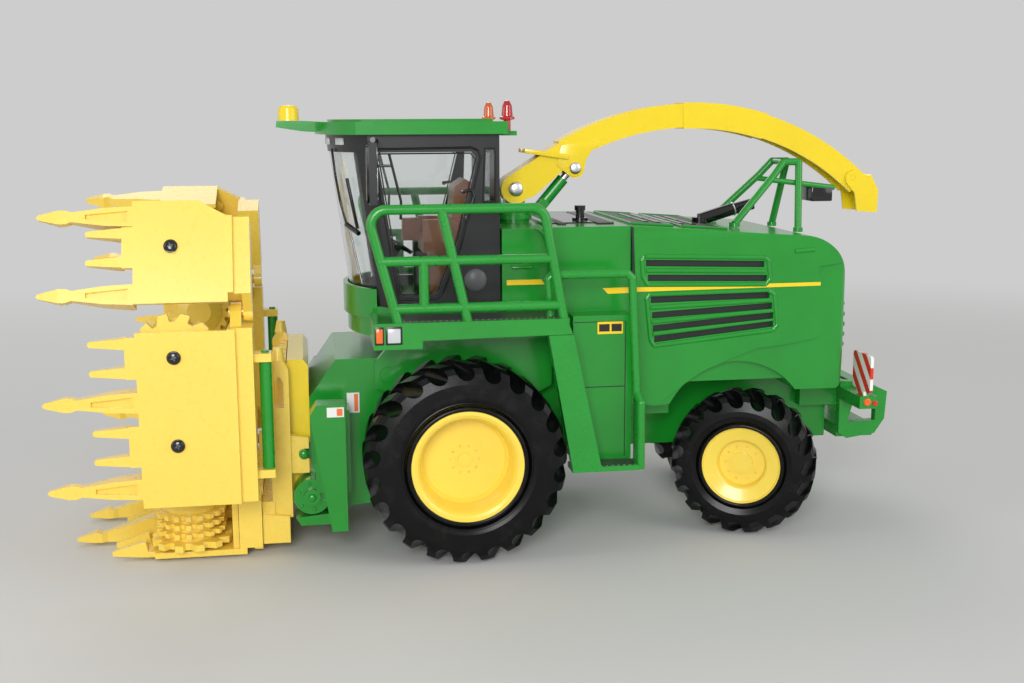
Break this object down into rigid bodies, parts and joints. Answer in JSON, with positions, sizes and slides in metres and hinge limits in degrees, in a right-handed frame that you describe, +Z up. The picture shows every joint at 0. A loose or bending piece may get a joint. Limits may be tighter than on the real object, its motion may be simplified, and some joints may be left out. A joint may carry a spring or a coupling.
{
  "type": "toy self-propelled forage harvester",
  "caption": "Toy forage harvester folded for the road, with steered rear wheels, a turning and lifting spout, and a row-crop header whose wings fold and drums turn.",
  "frame": {"origin": "under the middle of the toy's box, on the ground", "axes": "+X forward, +Y to the machine's left, +Z up"},
  "size_m": [0.2691, 0.1076, 0.1392],
  "materials": {
    "green_paint": "semi-gloss green paint",
    "green_plastic": "glossy green plastic",
    "yellow_paint": "glossy yellow paint",
    "yellow_plastic": "glossy yellow plastic",
    "pale_plastic": "pale warm yellow plastic",
    "tyre_rubber": "glossy black tyre",
    "black_plastic": "satin black plastic",
    "window": "clear glazing",
    "lamp_orange": "translucent orange red",
    "seat_brown": "brown moulded plastic",
    "board": "white with red stripes",
    "steel_pin": "bare steel"
  },
  "bodies": {
    "chassis": {"chassis": "green_paint", "front_axle": "green_paint", "rear_axle": "green_paint", "engine_hood": "green_paint", "mid_body": "green_paint", "deck_insert": "black_plastic", "platform_left": "green_paint", "platform_right": "green_paint", "railing_left": "green_plastic", "railing_right": "green_plastic", "ladder": "green_plastic", "cab_base": "green_paint", "cab_frame": "black_plastic", "cab_glass": "window", "cab_roof": "green_paint", "beacons": "lamp_orange", "receiver_cap": "yellow_plastic", "seat": "seat_brown", "console": "black_plastic", "mirrors": "black_plastic", "spout_rest": "green_plastic", "rear_hitch": "green_plastic", "warning_boards": "board"},
    "wheel_front_left": {"tyre_front_left": "tyre_rubber", "rim_front_left": "yellow_plastic"},
    "wheel_front_right": {"tyre_front_right": "tyre_rubber", "rim_front_right": "yellow_plastic"},
    "knuckle_left": {"knuckle_left": "black_plastic"},
    "knuckle_right": {"knuckle_right": "black_plastic"},
    "tie_rod": {"tie_rod": "black_plastic"},
    "wheel_rear_left": {"tyre_rear_left": "tyre_rubber", "rim_rear_left": "yellow_plastic"},
    "wheel_rear_right": {"tyre_rear_right": "tyre_rubber", "rim_rear_right": "yellow_plastic"},
    "turret": {"spout_turret": "green_plastic"},
    "boom": {"spout_boom": "yellow_paint"},
    "flap": {"spout_flap": "yellow_paint"},
    "ram_barrel": {"spout_barrel": "green_plastic"},
    "ram_rod": {"spout_rod": "steel_pin"},
    "header": {"feeder_house": "green_paint", "feeder_face": "yellow_paint", "header_frame": "pale_plastic", "bed_centre": "pale_plastic"},
    "wing_left": {"wing_left": "pale_plastic", "fold_ram_left": "green_plastic"},
    "wing_right": {"wing_right": "pale_plastic", "fold_ram_right": "green_plastic"},
    "outer_left": {"outer_left": "pale_plastic"},
    "outer_right": {"outer_right": "pale_plastic"},
    "drum_centre": {"drum_centre": "pale_plastic"},
    "drum_centre_left": {"drum_centre_left": "pale_plastic"},
    "drum_centre_right": {"drum_centre_right": "pale_plastic"},
    "drum_wing_left_in": {"drum_wing_left_in": "pale_plastic"},
    "drum_wing_left_out": {"drum_wing_left_out": "pale_plastic"},
    "drum_outer_left": {"drum_outer_left": "pale_plastic"},
    "drum_wing_right_in": {"drum_wing_right_in": "pale_plastic"},
    "drum_wing_right_out": {"drum_wing_right_out": "pale_plastic"},
    "drum_outer_right": {"drum_outer_right": "pale_plastic"}
  },
  "joints": [
    {"name": "wheel_front_left_spin", "type": "hinge", "parent": "chassis", "child": "wheel_front_left", "pos_m": [0.0135, 0.04, 0.0308], "axis": [0, 1, 0], "continuous": true},
    {"name": "wheel_front_right_spin", "type": "hinge", "parent": "chassis", "child": "wheel_front_right", "pos_m": [0.0135, -0.04, 0.0308], "axis": [0, 1, 0], "continuous": true},
    {"name": "steer_left", "type": "hinge", "parent": "chassis", "child": "knuckle_left", "pos_m": [-0.0835, 0.024, 0.0233], "axis": [0, 0, 1], "range_deg": [-3.3, 52.7]},
    {"name": "wheel_rear_left_spin", "type": "hinge", "parent": "knuckle_left", "child": "wheel_rear_left", "pos_m": [-0.0835, 0.024, 0.0233], "axis": [0.4179, 0.9085, 0], "continuous": true},
    {"name": "steer_right", "type": "hinge", "parent": "chassis", "child": "knuckle_right", "pos_m": [-0.0835, -0.024, 0.0233], "axis": [0, 0, 1], "range_deg": [-3.3, 52.7]},
    {"name": "wheel_rear_right_spin", "type": "hinge", "parent": "knuckle_right", "child": "wheel_rear_right", "pos_m": [-0.0835, -0.024, 0.0233], "axis": [0.4179, 0.9085, 0], "continuous": true},
    {"name": "tie_rod_pivot", "type": "hinge", "parent": "knuckle_left", "child": "tie_rod", "pos_m": [-0.07714, 0.02107, 0.0208], "axis": [0, 0, 1], "range_deg": [-52.7, 3.3]},
    {"name": "spout_swivel", "type": "hinge", "parent": "chassis", "child": "turret", "pos_m": [-0.0091, 0, 0.1], "axis": [0, 0, 1], "range_deg": [-72, 72]},
    {"name": "spout_lift", "type": "hinge", "parent": "turret", "child": "boom", "pos_m": [-0.0091, 0, 0.1108], "axis": [0, 1, 0], "range_deg": [0, 20]},
    {"name": "ram_swing", "type": "hinge", "parent": "turret", "child": "ram_barrel", "pos_m": [-0.0171, 0, 0.1036], "axis": [0, 1, 0], "range_deg": [-0.2, 18.25]},
    {"name": "ram_stroke", "type": "slide", "parent": "ram_barrel", "child": "ram_rod", "axis": [-0.6499, 0, 0.76], "range_m": [-0.0001, 0.00378]},
    {"name": "flap_tilt", "type": "hinge", "parent": "boom", "child": "flap", "pos_m": [-0.12525, 0, 0.11318], "axis": [0, 1, 0], "range_deg": [-10, 25]},
    {"name": "header_lift", "type": "hinge", "parent": "chassis", "child": "header", "pos_m": [0.0355, 0, 0.055], "axis": [0, -1, 0], "range_deg": [0, 10]},
    {"name": "wing_left_fold", "type": "hinge", "parent": "header", "child": "wing_left", "pos_m": [0.0835, 0.0326, 0.0212], "axis": [-1, 0, 0], "range_deg": [0, 90]},
    {"name": "outer_left_fold", "type": "hinge", "parent": "wing_left", "child": "outer_left", "pos_m": [0.0785, 0.0402, 0.0778], "axis": [-1, 0, 0], "range_deg": [0, 20]},
    {"name": "wing_right_fold", "type": "hinge", "parent": "header", "child": "wing_right", "pos_m": [0.0835, -0.0326, 0.0212], "axis": [1, 0, 0], "range_deg": [0, 90]},
    {"name": "outer_right_fold", "type": "hinge", "parent": "wing_right", "child": "outer_right", "pos_m": [0.0785, -0.0402, 0.0778], "axis": [1, 0, 0], "range_deg": [0, 20]},
    {"name": "drum_centre_spin", "type": "hinge", "parent": "header", "child": "drum_centre", "pos_m": [0.0975, 0, 0.008], "axis": [0, 0, 1], "continuous": true},
    {"name": "drum_centre_left_spin", "type": "hinge", "parent": "header", "child": "drum_centre_left", "pos_m": [0.0975, 0.0258, 0.008], "axis": [0, 0, 1], "continuous": true},
    {"name": "drum_centre_right_spin", "type": "hinge", "parent": "header", "child": "drum_centre_right", "pos_m": [0.0975, -0.0258, 0.008], "axis": [0, 0, 1], "continuous": true},
    {"name": "drum_wing_left_in_spin", "type": "hinge", "parent": "wing_left", "child": "drum_wing_left_in", "pos_m": [0.0975, 0.0458, 0.0412], "axis": [0, -1, 0], "continuous": true},
    {"name": "drum_wing_left_out_spin", "type": "hinge", "parent": "wing_left", "child": "drum_wing_left_out", "pos_m": [0.0975, 0.0458, 0.067], "axis": [0, -1, 0], "continuous": true},
    {"name": "drum_outer_left_spin", "type": "hinge", "parent": "outer_left", "child": "drum_outer_left", "pos_m": [0.0975, 0.03968, 0.0956], "axis": [0, -0.9397, -0.342], "continuous": true},
    {"name": "drum_wing_right_in_spin", "type": "hinge", "parent": "wing_right", "child": "drum_wing_right_in", "pos_m": [0.0975, -0.0458, 0.0412], "axis": [0, 1, 0], "continuous": true},
    {"name": "drum_wing_right_out_spin", "type": "hinge", "parent": "wing_right", "child": "drum_wing_right_out", "pos_m": [0.0975, -0.0458, 0.067], "axis": [0, 1, 0], "continuous": true},
    {"name": "drum_outer_right_spin", "type": "hinge", "parent": "outer_right", "child": "drum_outer_right", "pos_m": [0.0975, -0.03968, 0.0956], "axis": [0, 0.9397, -0.342], "continuous": true}
  ],
  "couplings": [
    {"joint": "steer_right", "follows": "steer_left", "ratio": 1},
    {"joint": "tie_rod_pivot", "follows": "steer_left", "ratio": -1},
    {"joint": "ram_swing", "follows": "spout_lift", "ratio": 0.90258},
    {"joint": "ram_stroke", "follows": "spout_lift", "m_per_rad": 0.010531}
  ]
}
